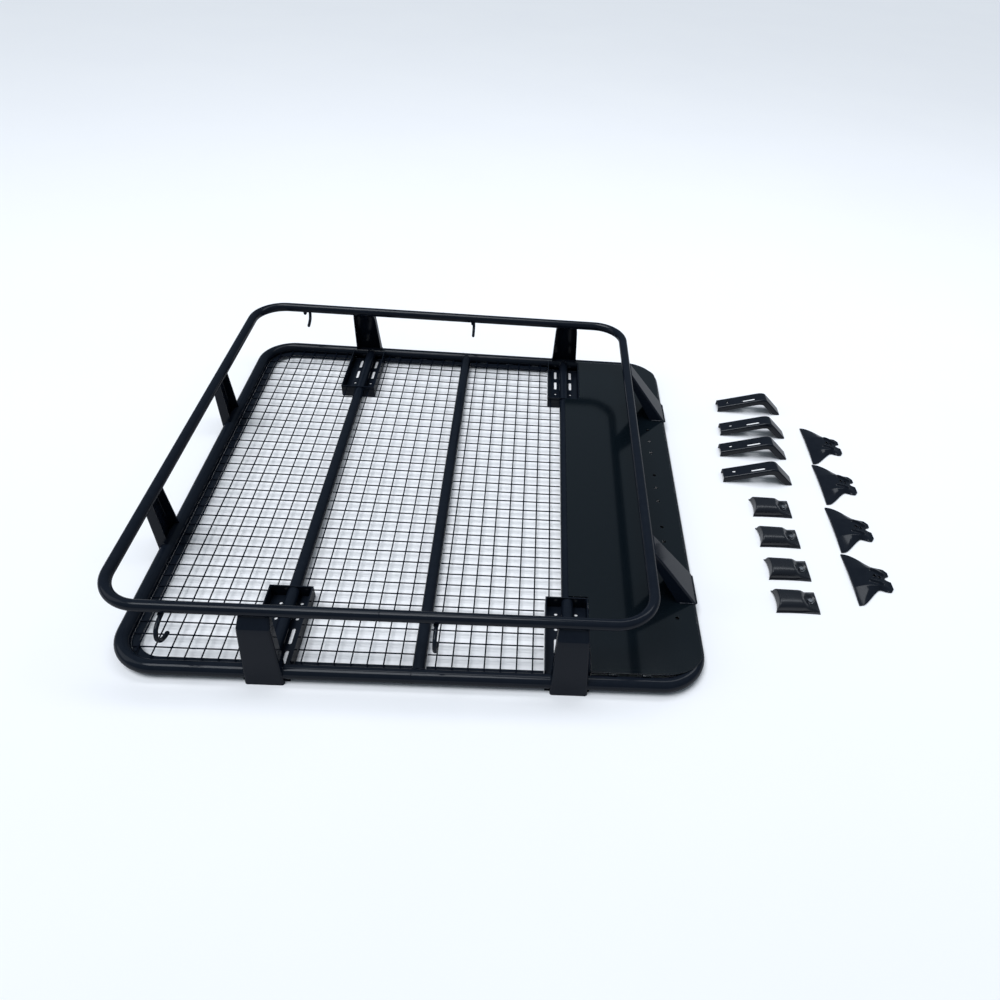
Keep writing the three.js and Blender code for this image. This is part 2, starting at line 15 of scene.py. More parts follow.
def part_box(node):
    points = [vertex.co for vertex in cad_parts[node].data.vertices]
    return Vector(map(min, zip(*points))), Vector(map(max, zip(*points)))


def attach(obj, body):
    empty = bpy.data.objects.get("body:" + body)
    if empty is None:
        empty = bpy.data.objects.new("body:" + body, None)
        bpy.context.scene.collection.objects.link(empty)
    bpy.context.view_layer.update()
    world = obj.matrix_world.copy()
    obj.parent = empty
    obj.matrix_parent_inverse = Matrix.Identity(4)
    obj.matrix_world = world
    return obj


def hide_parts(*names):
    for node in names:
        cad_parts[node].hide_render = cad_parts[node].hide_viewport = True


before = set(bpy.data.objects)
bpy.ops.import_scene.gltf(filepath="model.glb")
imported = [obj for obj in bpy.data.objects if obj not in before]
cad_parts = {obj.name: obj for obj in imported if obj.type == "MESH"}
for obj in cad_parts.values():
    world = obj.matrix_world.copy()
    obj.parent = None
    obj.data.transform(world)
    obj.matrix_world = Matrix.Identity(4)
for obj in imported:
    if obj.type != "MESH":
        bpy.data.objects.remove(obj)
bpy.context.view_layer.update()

# ------------------------------------------------------------------ dimensions

MM = 0.001
SHEET = 3.0  # thickness of the folded parts
GAP = 0.4  # between neighbouring welded pieces
SMALL_FOLD_R = 4.5  # outer bend radius of the trays and arms

BASE_X, BASE_Y, BASE_Z, BASE_R, BASE_BEND = 628.0, 646.0, 19.5, 16.0, 90.0
RAIL_REAR, RAIL_FRONT, RAIL_Y = -621.0, 508.0, 615.0
RAIL_Z, RAIL_R, RAIL_BEND = 179.5, 12.5, 88.0
CROSS_X, CROSS_R = (-300.0, 12.0, 335.0), 14.0
LEDGE_W, LEDGE_Z = 16.0, 10.0

PITCH, WIRE_R, WIRE_ROWS, WIRE_COLUMNS = 35.0, 1.62, 35, 8
LOWER_Z, UPPER_Z = 14.8, 18.0

TRAY_X, TRAY_W, TRAY_INNER, TRAY_H = (-304.0, 333.0), 100.0, 416.0, 36.0
SLOT_X, SLOT_W = 24.0, 8.0
SLOT_SPANS = ((515.0, 560.0), (577.0, 622.0))
TRAY_HOLES = (442.0, 488.0)

PANEL_Z, PANEL_T, PANEL_REAR, PANEL_FRONT, PANEL_Y = 36.0, 2.0, 337.0, 634.0, 632.0
PANEL_HOLE_R = 4.5
PANEL_BEND_X, PANEL_BEND_Y = 96.0, 62.0
CORNER_HOLE_X, CORNER_HOLE_Y = 590, 468
HOLE_ROW_X, HOLE_GROUPS, HOLE_STEPS = 585, (-213, 0, 213), (-55, 0, 55)

# Folded parts from foot to head: half width and flange depth.
UPRIGHT_X, REAR_UPRIGHT_Y = (-306.0, 336.0), (-262.0, 238.0)
UPRIGHT_FOOT, UPRIGHT_KNEE, UPRIGHT_HEAD, KNEE_Z = (41, 28), (34, 24), (31, 12), 150
STRUT_Y, STRUT_FOOT, STRUT_HEAD = 370.0, (52, 44), (32, 20)
# Hooks: place along the rail, and side.
HOOKS = ((-487.0, -1), (56.0, -1), (-487.0, 1), (36.0, 1))
HOOK_R = 4.5
# A hook's rod from under the rail to its tip: out, up.
HOOK_PROFILE = ((-3, 0), (20, -1), (40, -7), (49, -22), (42, -38), (28, -46), (13, -50))

ARM_PLACES = ((833, 466), (822, 337), (805, 230), (795, 109))
ARM_HALF, ARM_RUN, ARM_START, ARM_TOP, ARM_TIP = 22.0, 146.0, 16.0, 56.0, 204.0
ARM_SLOT_X, ARM_SLOT_Y, ARM_HOLE_X = (79.5, 110.5), -9, 30
COVER_PLACES = ((856, -21), (852, -141), (852, -260), (848, -370))
COVER_L, COVER_HALF, COVER_H, COVER_WALL = 110.0, 36.0, 25.0, 2.0
COVER_LIP_Z = 2.6
POCKET_X, POCKET_DEPTH, POCKET_R = 90.0, 5.0, 21
WASHER_R, WASHER_T, HEAD_R, HEAD_H, SHANK_R = 8.6, 1.4, 6.6, 5.0, 3.6
CLAMP_PLACES = ((1086, 284), (1080, 99), (1070, -95), (1065, -281))
CLAMP_T, CLAMP_RISE = 3.5, 11.0
# Along a clamp: x, near edge, near fold, far fold, far edge, share of the crown's rise.
CLAMP_STATIONS = (
    (0, -91, -32, 30, 88, 0.4),
    (14, -88, -32, 30, 86, 0.7),
    (28, -76, -31, 30, 79, 0.9),
    (42, -61, -30, 30, 68, 1.0),
    (54, -48, -31, 30, 56, 1.0),
    (68, -37, -30, 28, 45, 0.9),
    (84, -41, -28, 26, 40, 0.45),
    (98, -42, -26, 22, 36, 0.0),
    (106, -32, -22, 16, 26, 0.0),
)
CLAMP_RIBS, CLAMP_RIB_H = (((58, 25), (92, 15)), ((47, -13), (78, -22))), 5.0
CLAMP_HOLES = ((62, 3), (75, 1))
CLAMP_NOTCH = ((94, 8), (92, 0), (112, -12), (112, 16))
HOLE_R, SLOT_HALF = 4.5, 3.5

ORIGIN_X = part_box("base_frame_front")[1].x - (BASE_X + BASE_R) * MM
rng = random.Random(7)


def placed(x=0.0, y=0.0, z=0.0, turn=0.0):
    """Matrix from a piece's own millimetres to the shared frame."""
    move = Matrix.Translation((x * MM + ORIGIN_X, y * MM, z * MM))
    return move @ Matrix.Rotation(math.radians(turn), 4, "Z") @ Matrix.Scale(MM, 4)


# ------------------------------------------------------------------ finishes


def node(tree, kind, **inputs):
    """New node with its input values."""
    made = tree.nodes.new(kind)
    for name, value in inputs.items():
        made.inputs[name.replace("_", " ")].default_value = value
    return made


def scaled(tree, source, low, high):
    """Maps a 0..1 value to low..high."""
    mapped = tree.nodes.new("ShaderNodeMapRange")
    mapped.inputs["To Min"].default_value = low
    mapped.inputs["To Max"].default_value = high
    tree.links.new(source, mapped.inputs["Value"])
    return mapped.outputs["Result"]


def coated(name, colour, dust, rough, peel, specular=0.5, dusting=0.25, coat=0.0):
    """Coat with an uneven sheen, a fine surface texture and dust on what faces up."""
    material = bpy.data.materials.new(name)
    material.use_nodes = True
    tree = material.node_tree
    shader = tree.nodes["Principled BSDF"]
    shader.inputs["Specular IOR Level"].default_value = specular
    shader.inputs["Coat Weight"].default_value = coat
    shader.inputs["Coat Roughness"].default_value = rough[0]
    place = tree.nodes.new("ShaderNodeTexCoord")

    cloud = node(tree, "ShaderNodeTexNoise", Scale=9.0, Detail=6.0, Roughness=0.6)
    tree.links.new(place.outputs["Object"], cloud.inputs["Vector"])
    tree.links.new(scaled(tree, cloud.outputs["Fac"], *rough), shader.inputs["Roughness"])

    facing = tree.nodes.new("ShaderNodeNewGeometry")
    split = tree.nodes.new("ShaderNodeSeparateXYZ")
    tree.links.new(facing.outputs["Normal"], split.inputs["Vector"])
    specks = node(tree, "ShaderNodeTexNoise", Scale=55.0, Detail=8.0, Roughness=0.7)
    tree.links.new(place.outputs["Object"], specks.inputs["Vector"])
    settled = tree.nodes.new("ShaderNodeMath")
    settled.operation = "MULTIPLY"
    settled.use_clamp = True
    tree.links.new(scaled(tree, split.outputs["Z"], -0.4, 1.0), settled.inputs[0])
    tree.links.new(scaled(tree, specks.outputs["Fac"], -0.2 * dusting, dusting), settled.inputs[1])
    mix = tree.nodes.new("ShaderNodeMix")
    mix.data_type = "RGBA"
    mix.inputs["A"].default_value = (*colour, 1.0)
    mix.inputs["B"].default_value = (*dust, 1.0)
    tree.links.new(settled.outputs["Value"], mix.inputs["Factor"])
    tree.links.new(mix.outputs["Result"], shader.inputs["Base Color"])

    grain = node(tree, "ShaderNodeTexNoise", Scale=peel[0], Detail=3.0)
    tree.links.new(place.outputs["Object"], grain.inputs["Vector"])
    bump = node(tree, "ShaderNodeBump", Strength=peel[1], Distance=peel[2])
    tree.links.new(grain.outputs["Fac"], bump.inputs["Height"])
    tree.links.new(bump.outputs["Normal"], shader.inputs["Normal"])
    return material


def zinc_plate(name):
    """Bright plating with cloudy tone and sheen."""
    material = bpy.data.materials.new(name)
    material.use_nodes = True
    tree = material.node_tree
    shader = tree.nodes["Principled BSDF"]
    shader.inputs["Metallic"].default_value = 1.0
    place = tree.nodes.new("ShaderNodeTexCoord")
    cloud = node(tree, "ShaderNodeTexNoise", Scale=160.0, Detail=5.0)
    tree.links.new(place.outputs["Object"], cloud.inputs["Vector"])
    tree.links.new(scaled(tree, cloud.outputs["Fac"], 0.22, 0.48), shader.inputs["Roughness"])
    ramp = tree.nodes.new("ShaderNodeValToRGB")
    ramp.color_ramp.elements[0].color = (0.12, 0.125, 0.14, 1.0)
    ramp.color_ramp.elements[1].color = (0.30, 0.31, 0.33, 1.0)
    tree.links.new(cloud.outputs["Fac"], ramp.inputs["Fac"])
    tree.links.new(ramp.outputs["Color"], shader.inputs["Base Color"])
    return material


DUST = (0.030, 0.035, 0.045)
FINISHES = {
    "frame_paint": coated(
        "frame_paint", (0.0045, 0.0068, 0.0120), DUST, (0.12, 0.30), (700.0, 0.12, 0.0002),
        specular=0.0, coat=0.28,
    ),
    "mesh_paint": coated(
        "mesh_paint", (0.0030, 0.0050, 0.0110), DUST, (0.3, 0.5), (900.0, 0.2, 0.0002),
        specular=0.0, dusting=0.1, coat=0.08,
    ),
    "panel_paint": coated(
        "panel_paint", (0.0025, 0.0048, 0.0070), DUST, (0.07, 0.15), (420.0, 0.06, 0.0002),
        specular=0.36, dusting=0.05,
    ),
    "kit_paint": coated(
        "kit_paint", (0.0035, 0.0052, 0.0095), DUST, (0.12, 0.30), (800.0, 0.12, 0.0002),
        specular=0.0, coat=0.42,
    ),
    "cover_plastic": coated(
        "cover_plastic", (0.0060, 0.0072, 0.0110), DUST, (0.20, 0.34), (1500.0, 0.2, 0.0002),
        specular=0.35, dusting=0.12,
    ),
    "bolt_zinc": zinc_plate("bolt_zinc"),
}

# ------------------------------------------------------------------ mesh helpers


def shape(parts, matrix):
    """Mesh object from (points, faces) parts given in the piece's own millimetres."""
    points, faces = [], []
    for part_points, part_faces in parts:
        start = len(points)
        points.extend(matrix @ Vector(p) for p in part_points)
        faces.extend([n + start for n in face] for face in part_faces)
    mesh = bpy.data.meshes.new("piece")
    mesh.from_pydata(points, [], faces)
    mesh.validate()
    made = bpy.data.objects.new("piece", mesh)
    bpy.context.scene.collection.objects.link(made)
    return made


def settle(made):
    """Applies the modifiers."""
    shown = made.evaluated_get(bpy.context.evaluated_depsgraph_get())
    mesh = bpy.data.meshes.new_from_object(shown)
    made.modifiers.clear()
    made.data = mesh


def outward(made):
    """Turns every closed shell to face out."""
    bm = bmesh.new()
    bm.from_mesh(made.data)
    bmesh.ops.recalc_face_normals(bm, faces=bm.faces)
    bm.to_mesh(made.data)
    bm.free()


def cut(made, cutters, matrix):
    """Cuts (points, faces) parts out of an object."""
    outward(made)
    for part in cutters:
        tool = shape([part], matrix)
        outward(tool)
        modifier = made.modifiers.new("cut", "BOOLEAN")
        modifier.operation = "DIFFERENCE"
        modifier.solver = "EXACT"
        modifier.object = tool
        settle(made)
        bpy.data.objects.remove(tool)


def softened(made, width, segments=2, angle=38):
    """Rounds off the edges that are sharper than an angle."""
    modifier = made.modifiers.new("edge", "BEVEL")
    modifier.width = width * MM
    modifier.segments = segments
    modifier.limit_method = "ANGLE"
    modifier.angle_limit = math.radians(angle)
    modifier.use_clamp_overlap = True
    settle(made)


def joined(made, others):
    """Moves the meshes of other objects into this one."""
    bm = bmesh.new()
    bm.from_mesh(made.data)
    for other in others:
        bm.from_mesh(other.data)
        bpy.data.objects.remove(other)
    bm.to_mesh(made.data)
    bm.free()


def extended(made, parts, matrix):
    """Adds more (points, faces) parts, such as weld beads, to a finished object."""
    bm = bmesh.new()
    bm.from_mesh(made.data)
    for points, faces in parts:
        verts = [bm.verts.new(matrix @ Vector(p)) for p in points]
        for face in faces:
            bm.faces.new([verts[n] for n in face])
    bm.to_mesh(made.data)
    bm.free()


def finished(made, name, body, slot, *nodes, angle=40):
    """Names a piece, shades it, gives it its finish and puts it in place of CAD nodes."""
    made.name = name
    outward(made)
    for polygon in made.data.polygons:
        polygon.use_smooth = True
    made.data.set_sharp_from_angle(angle=math.radians(angle))
    modifier = made.modifiers.new("normals", "WEIGHTED_NORMAL")
    modifier.keep_sharp = True
    settle(made)
    made.data.name = name
    made.data.materials.clear()
    made.data.materials.append(FINISHES[slot])
    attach(made, body)
    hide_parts(*nodes)


def loft(rings, closed=False):
    """Skin through rings of equal length, capped at both ends unless it closes on itself."""
    size = len(rings[0])
    points = [p for ring in rings for p in ring]
    faces = []
    for i in range(len(rings) if closed else len(rings) - 1):
        a, b = i * size, ((i + 1) % len(rings)) * size
        for k in range(size):
            j = (k + 1) % size
            faces.append([a + k, a + j, b + j, b + k])
    if not closed:
        faces.append(list(range(size))[::-1])
        faces.append([len(points) - size + k for k in range(size)])
    return points, faces


def swept(path, radii, sides=20, closed=False):
    """Round bar along a path; radii is one number or one per path point."""
    path = [Vector(p) for p in path]
    count = len(path)
    if not isinstance(radii, (list, tuple)):
        radii = [radii] * count
    tangents = []
    for i in range(count):
        after = path[(i + 1) % count] if closed or i < count - 1 else path[i]
        before = path[i - 1] if closed or i > 0 else path[i]
        tangents.append((after - before).normalized())
    up = Vector((0, 0, 1)) if abs(tangents[0].z) < 0.9 else Vector((1, 0, 0))
    side = tangents[0].cross(up).normalized()
    rings = []
    for i in range(count):
        if i:
            side = (tangents[i - 1].rotation_difference(tangents[i]) @ side).normalized()
        top = side.cross(tangents[i]).normalized()
        ring = []
        for k in range(sides):
            a = 2 * math.pi * k / sides
            ring.append(path[i] + (side * math.cos(a) + top * math.sin(a)) * radii[i])
        rings.append(ring)
    return loft(rings, closed)


def along(path, step):
    """The same path with points at an even spacing."""
    path = [Vector(p) for p in path]
    lengths = [0.0]
    for a, b in zip(path, path[1:]):
        lengths.append(lengths[-1] + (b - a).length)
    count = max(3, int(lengths[-1] / step))
    result, n = [], 0
    for i in range(count + 1):
        s = lengths[-1] * i / count
        while n < len(path) - 2 and lengths[n + 1] < s:
            n += 1
        span = lengths[n + 1] - lengths[n] or 1.0
        result.append(path[n].lerp(path[n + 1], (s - lengths[n]) / span))
    return result


def bead(path, radius, closed=False, ripple=2.6):
    """Weld bead: a rod that swells at every ripple and thins out at its ends."""
    line = along(path, ripple / 4)
    if closed:
        line = line[:-1]
    radii = []
    for i in range(len(line)):
        swell = 1 + 0.22 * abs(math.sin(math.pi * i / 4)) + rng.uniform(-0.05, 0.05)
        end = 1.0 if closed else min(1.0, 0.45 + 0.2 * min(i, len(line) - 1 - i))
        radii.append(radius * swell * end)
    return swept(line, radii, 8, closed)


def arc(centre, radius, start, end, plane="yz", steps=16):
    """Points on an arc; angles in degrees, in the plane named by its two axes."""
    first, second = ("xyz".index(c) for c in plane)
    points = []
    for i in range(steps + 1):
        a = math.radians(start + (end - start) * i / steps)
        p = list(centre)
        p[first] += radius * math.cos(a)
        p[second] += radius * math.sin(a)
        points.append(tuple(p))
    return points


def box_part(low, high):
    """Box between two corners."""
    corners = [(x, y, z) for x in (low[0], high[0])
               for y in (low[1], high[1]) for z in (low[2], high[2])]
    sides = [(0, 1, 3, 2), (4, 6, 7, 5), (0, 4, 5, 1), (2, 3, 7, 6), (0, 2, 6, 4), (1, 5, 7, 3)]
    return corners, [list(s) for s in sides]


def rod_part(axis, low, high, centre, radius, sides=40):
    """Cylinder along an axis between two values; centre gives the other two coordinates."""
    ends = []
    for value in (low, high):
        p = list(centre)
        p["xyz".index(axis)] = value
        ends.append(p)
    return swept(ends, radius, sides)


def slot_part(x0, y0, x1, y1, radius, z0, z1):
    """Slot with round ends between two centres, as a cutter."""
    heading = math.degrees(math.atan2(y1 - y0, x1 - x0))
    outline = arc((x1, y1, 0), radius, heading - 90, heading + 90, "xy", 10)
    outline += arc((x0, y0, 0), radius, heading + 90, heading + 270, "xy", 10)
    rings = [[(x, y, z) for x, y, _ in outline] for z in (z0, z1)]
    return loft(rings)


def plate(outline, holes, z0, z1, edge, matrix):
    """Flat sheet with holes and rounded edges, from closed outlines of (x, y)."""
    curve = bpy.data.curves.new("sheet", "CURVE")
    curve.dimensions = "2D"
    curve.fill_mode = "BOTH"
    curve.extrude = ((z1 - z0) / 2 - edge) * MM
    curve.bevel_depth = edge * MM
    curve.bevel_resolution = 2
    curve.offset = -edge * MM
    for loop in [outline, *holes]:
        spline = curve.splines.new("POLY")
        spline.points.add(len(loop) - 1)
        for point, (x, y) in zip(spline.points, loop):
            world = matrix @ Vector((x, y, 0))
            point.co = (world.x, world.y, 0, 1)
        spline.use_cyclic_u = True
    source = bpy.data.objects.new("sheet", curve)
    bpy.context.scene.collection.objects.link(source)
    shown = source.evaluated_get(bpy.context.evaluated_depsgraph_get())
    mesh = bpy.data.meshes.new_from_object(shown)
    bpy.data.objects.remove(source)
    mesh.transform(Matrix.Translation((0, 0, (z0 + z1) / 2 * MM)))
    bm = bmesh.new()
    bm.from_mesh(mesh)
    bmesh.ops.remove_doubles(bm, verts=bm.verts, dist=1e-6)
    bm.to_mesh(mesh)
    bm.free()
    made = bpy.data.objects.new("sheet", mesh)
    bpy.context.scene.collection.objects.link(made)
    return made


def fold_section(half, depth, radius=5.5, thickness=SHEET, steps=5):
    """Outline of a folded U as (across, inward) pairs: outer skin, then inner skin back."""
    corner = half - radius
    outer = [(-half, depth)]
    outer += [p[:2] for p in arc((-corner, radius, 0), radius, 180, 270, "xy", steps)]
    outer += [p[:2] for p in arc((corner, radius, 0), radius, 270, 360, "xy", steps)]
    outer.append((half, depth))
    inside = radius - thickness
    inner = [(half - thickness, depth)]
    inner += [p[:2] for p in arc((corner, radius, 0), inside, 360, 270, "xy", steps)]
    inner += [p[:2] for p in arc((-corner, radius, 0), inside, 270, 180, "xy", steps)]
    inner.append((-half + thickness, depth))
    return outer + inner


def eased(profile, reach, steps=6):
    """Profile of number tuples with its inner corners rounded; reach is a share of a span."""
    rounded = [profile[0]]
    for before, corner, after in zip(profile, profile[1:], profile[2:]):
        start = [c + (b - c) * reach for b, c in zip(before, corner)]
        end = [c + (a - c) * reach for a, c in zip(after, corner)]
        for i in range(steps + 1):
            t = i / steps
            rounded.append(tuple(
                s * (1 - t) ** 2 + 2 * c * t * (1 - t) + e * t * t
                for s, c, e in zip(start, corner, end)
            ))
    return rounded + [profile[-1]]


def spline(a, b, c, d, t):
    """Catmull-Rom curve from b to c, for numbers or vectors."""
    return 0.5 * (2 * b + (c - a) * t + (2 * a - 5 * b + 4 * c - d) * t * t
                  + (3 * b - a - 3 * c + d) * t ** 3)


def smoothstep(a, b, x):
    """0 below a, 1 above b, and smooth between."""
    t = min(1.0, max(0.0, (x - a) / (b - a)))
    return t * t * (3 - 2 * t)


HOME = placed()

# ------------------------------------------------------------------ tube loops


def loop_path(rear, front, half, z, bend, steps=16):
    """Closed rectangle with round corners."""
    points = []
    corners = ((front, half, 0), (rear, half, 90), (rear, -half, 180), (front, -half, 270))
    for x, y, start in corners:
        cx = x - math.copysign(bend, x)
        cy = y - math.copysign(bend, y)
        points += arc((cx, cy, z), bend, start, start + 90, "xy", steps)
    return points


def tube_loop(name, rear, front, half, z, bend, radius, *nodes):
    """Bent tube loop, with a ground-down joint in the middle of each side."""
    parts = [swept(loop_path(rear, front, half, z, bend), radius, 40, closed=True)]
    joint_x = (rear + front) / 2
    for side in (-1, 1):
        ring = arc((joint_x, side * half, z), radius - 0.3, 0, 360, "yz", 40)
        parts.append(bead(ring, 0.9, closed=True, ripple=2.0))
    finished(shape(parts, HOME), name, "basket", "frame_paint", *nodes)


tube_loop("base_frame_tube", -BASE_X, BASE_X, BASE_Y, BASE_Z, BASE_BEND, BASE_R,
          "base_frame_front", "base_frame_rear")
tube_loop("upper_rail_tube", RAIL_REAR, RAIL_FRONT, RAIL_Y, RAIL_Z, RAIL_BEND, RAIL_R,
          "upper_rail_front", "upper_rail_rear")

for i, x in enumerate(CROSS_X):
    reach = BASE_Y - BASE_R * 0.75
    parts = [swept([(x, -reach, BASE_Z), (x, reach, BASE_Z)], CROSS_R, 36)]
    for side in (-1, 1):
        ring = []
        for p in arc((x, 0, BASE_Z), CROSS_R + 0.6, 0, 360, "xz", 48):
            bulge = math.sqrt(max(BASE_R ** 2 - (p[2] - BASE_Z) ** 2, 0.0))
            ring.append((p[0], side * (BASE_Y - bulge - 0.4), p[2]))
        parts.append(bead(ring, 1.9, closed=True))
    finished(shape(parts, HOME), f"cross_tube_{i + 1}_round", "basket", "frame_paint",
             f"cross_tube_{i + 1}")

# ------------------------------------------------------------------ ledges

ledge_outer = BASE_Y - BASE_R - GAP
ledge_inner = ledge_outer - LEDGE_W
ledge_end = TRAY_X[0] - TRAY_W / 2 - 1


def ledge_corner(sign, radius, start, end):
    """Points round one rear corner of the frame."""
    centre = (-BASE_X + BASE_BEND, sign * (BASE_Y - BASE_BEND), 0)
    return [p[:2] for p in arc(centre, radius, start, end, "xy", 12)]


outer_r = BASE_BEND - BASE_R - GAP
rear_outline = [(ledge_end, ledge_inner), (ledge_end, ledge_outer)]
rear_outline += ledge_corner(1, outer_r, 90, 180) + ledge_corner(-1, outer_r, 180, 270)
rear_outline += [(ledge_end, -ledge_outer), (ledge_end, -ledge_inner)]
rear_outline += ledge_corner(-1, outer_r - LEDGE_W, 270, 180)
rear_outline += ledge_corner(1, outer_r - LEDGE_W, 180, 90)
rear_ledge = plate(rear_outline, [], LEDGE_Z, LEDGE_Z + SHEET, 0.5, HOME)
finished(rear_ledge, "ledge_rear_strip", "basket", "frame_paint", "ledge_rear")

for bay, x0, x1 in (
    ("middle", TRAY_X[0] + TRAY_W / 2 + 1, CROSS_X[1] - CROSS_R - 1),
    ("front", CROSS_X[1] + CROSS_R + 1, TRAY_X[1] - TRAY_W / 2 - 1),
):
    for side, sign in (("right", -1), ("left", 1)):
        near, far = sorted((sign * ledge_inner, sign * ledge_outer))
        strip = plate([(x0, near), (x1, near), (x1, far), (x0, far)], [],
                      LEDGE_Z, LEDGE_Z + SHEET, 0.5, HOME)
        tacks = []
        for k in range(3):
            x = x0 + (x1 - x0) * (k + 0.5) / 3
            y = sign * (ledge_outer - 1.2)
            tacks.append(bead([(x - 12, y, 13.6), (x + 12, y, 13.6)], 1.8))
        extended(strip, tacks, HOME)
        finished(strip, f"ledge_{side}_{bay}_strip", "basket", "frame_paint",
                 f"ledge_{side}_{bay}")

# ------------------------------------------------------------------ welded mesh

WIRE_REACH = TRAY_INNER - 2
FULL_REACH = BASE_Y - BASE_R - 1.5
REAR_X = -BASE_X + BASE_R + 1.5
# Each bay's mesh: first crosswise wire, the one that stops at the trays, first lengthwise wire,
# the bay's ends, and where the outer wires stop, ahead (at a tray in front) or behind.
SHEETS = (
    dict(name="rear", column=-587, tray=7, row=-591, x0=REAR_X, x1=CROSS_X[0] - CROSS_R - 0.5,
         stop=TRAY_X[0] - TRAY_W / 2 - 2, ahead=True),
    dict(name="middle", column=-274, tray=0, row=-584, x0=CROSS_X[0] + CROSS_R + 0.5,
         x1=CROSS_X[1] - CROSS_R - 0.5, stop=TRAY_X[0] + TRAY_W / 2 + 2, ahead=False),
    dict(name="front", column=47, tray=7, row=-584, x0=CROSS_X[1] + CROSS_R + 0.5,
         x1=CROSS_X[2] - CROSS_R - 0.5, stop=TRAY_X[1] - TRAY_W / 2 - 2, ahead=True),
)


def corner_reach(offset, straight, limit):
    """How far a wire of the rear sheet runs before the frame's rounded corner."""
    inner = BASE_BEND - BASE_R - 1.5
    into = abs(offset) - straight
    if into <= 0:
        return limit
    return limit - inner + math.sqrt(max(inner * inner - (into + WIRE_R) ** 2, 0.0))


def wire_span(sheet, y):
    """Ends of a lengthwise wire, which stops short of a tray and of the frame's corners."""
    x0, x1 = sheet["x0"], sheet["x1"]
    if abs(y) > WIRE_REACH - WIRE_R:
        if sheet["ahead"]:
            x1 = sheet["stop"]
        else:
            x0 = sheet["stop"]
    if sheet["name"] == "rear":
        x0 = max(x0, -corner_reach(y, BASE_Y - BASE_BEND, -REAR_X))
    return x0, x1


def wire(start, end):
    """Straight drawn wire, very slightly out of true."""
    a, b = Vector(start), Vector(end)
    line = []
    for k in range(5):
        p = a.lerp(b, k / 4)
        if 0 < k < 4:
            p += Vector((rng.uniform(-0.35, 0.35), rng.uniform(-0.35, 0.35), 0))
        line.append(p)
    return swept(line, WIRE_R, 10)


def nub(x, y, z):
    """Flattened drop of metal where two wires are resistance-welded."""
    size = rng.uniform(1.9, 2.4)
    rings = []
    for lift, share in ((-1.4, 0.55), (-0.6, 0.95), (0.6, 0.95), (1.4, 0.55)):
        rings.append([(x + size * share * math.cos(a), y + size * share * math.sin(a), z + lift)
                      for a in (k * math.pi / 4 for k in range(8))])
    return loft(rings)


for sheet in SHEETS:
    lengthwise, crosswise, welds = [], [], []
    columns = [sheet["column"] + k * PITCH for k in range(WIRE_COLUMNS)]
    reaches = []
    for k, x in enumerate(columns):
        reach = FULL_REACH
        if sheet["name"] == "rear":
            reach = corner_reach(x, BASE_X - BASE_BEND, FULL_REACH)
        if k == sheet["tray"]:
            reach = WIRE_REACH
        reaches.append(reach)
        crosswise.append(wire((x, -reach, UPPER_Z), (x, reach, UPPER_Z)))
    for i in range(WIRE_ROWS):
        y = sheet["row"] + i * PITCH
        x0, x1 = wire_span(sheet, y)
        lengthwise.append(wire((x0, y, LOWER_Z), (x1, y, LOWER_Z)))
        for x, reach in zip(columns, reaches):
            if x0 < x < x1 and abs(y) < reach:
                welds.append(nub(x, y, (LOWER_Z + UPPER_Z) / 2))
    finished(shape(lengthwise, HOME), f"mesh_{sheet['name']}_long_wires", "basket", "mesh_paint",
             f"mesh_{sheet['name']}_lengthwise")
    finished(shape(crosswise + welds, HOME), f"mesh_{sheet['name']}_cross_wires", "basket",
             "mesh_paint", f"mesh_{sheet['name']}_crosswise")

# ------------------------------------------------------------------ front sheet

notch_x, notch_y = TRAY_X[1] + TRAY_W / 2 + GAP, TRAY_INNER - 2


def panel_corner(sign, start, end):
    """Points round one front corner, a quarter of an ellipse."""
    return [(PANEL_FRONT - PANEL_BEND_X + PANEL_BEND_X * c,
             sign * (PANEL_Y - PANEL_BEND_Y) + PANEL_BEND_Y * s)
            for c, s, _ in arc((0, 0, 0), 1, start, end, "xy", 16)]


panel_outline = [(PANEL_REAR, -notch_y), (notch_x, -notch_y), (notch_x, -PANEL_Y)]
panel_outline += panel_corner(-1, 270, 360) + panel_corner(1, 0, 90)
panel_outline += [(notch_x, PANEL_Y), (notch_x, notch_y), (PANEL_REAR, notch_y)]
hole_places = [(CORNER_HOLE_X, -CORNER_HOLE_Y), (CORNER_HOLE_X, CORNER_HOLE_Y)]
hole_places += [(HOLE_ROW_X, group + step) for group in HOLE_GROUPS for step in HOLE_STEPS]
panel_holes = [[p[:2] for p in arc((x, y, 0), PANEL_HOLE_R, 0, 345, "xy", 23)]
               for x, y in hole_places]
panel = plate(panel_outline, panel_holes, PANEL_Z, PANEL_Z + PANEL_T, 0.5, HOME)
tacks = []
for sign in (-1, 1):
    for x in (430, 505):
        y = sign * (PANEL_Y + 2.2)
        tacks.append(bead([(x - 11, y, PANEL_Z - 1.0), (x + 11, y, PANEL_Z - 1.0)], 2.3))
for y in (-470, -235, 0, 235, 470):
    x = PANEL_FRONT + 0.8
    tacks.append(bead([(x, y - 12, PANEL_Z - 1.4), (x, y + 12, PANEL_Z - 1.4)], 1.6))
extended(panel, tacks, HOME)
finished(panel, "front_panel_sheet", "basket", "panel_paint", "front_panel")

# ------------------------------------------------------------------ uprights and struts


def folded(profile, reach):
    """Folded channel from (outward, height, half width, flange depth) stations."""
    rings = []
    for v, z, half, depth in eased(profile, reach):
        rings.append([(across, v - inward, z) for across, inward in fold_section(half, depth)])
    return loft(rings)


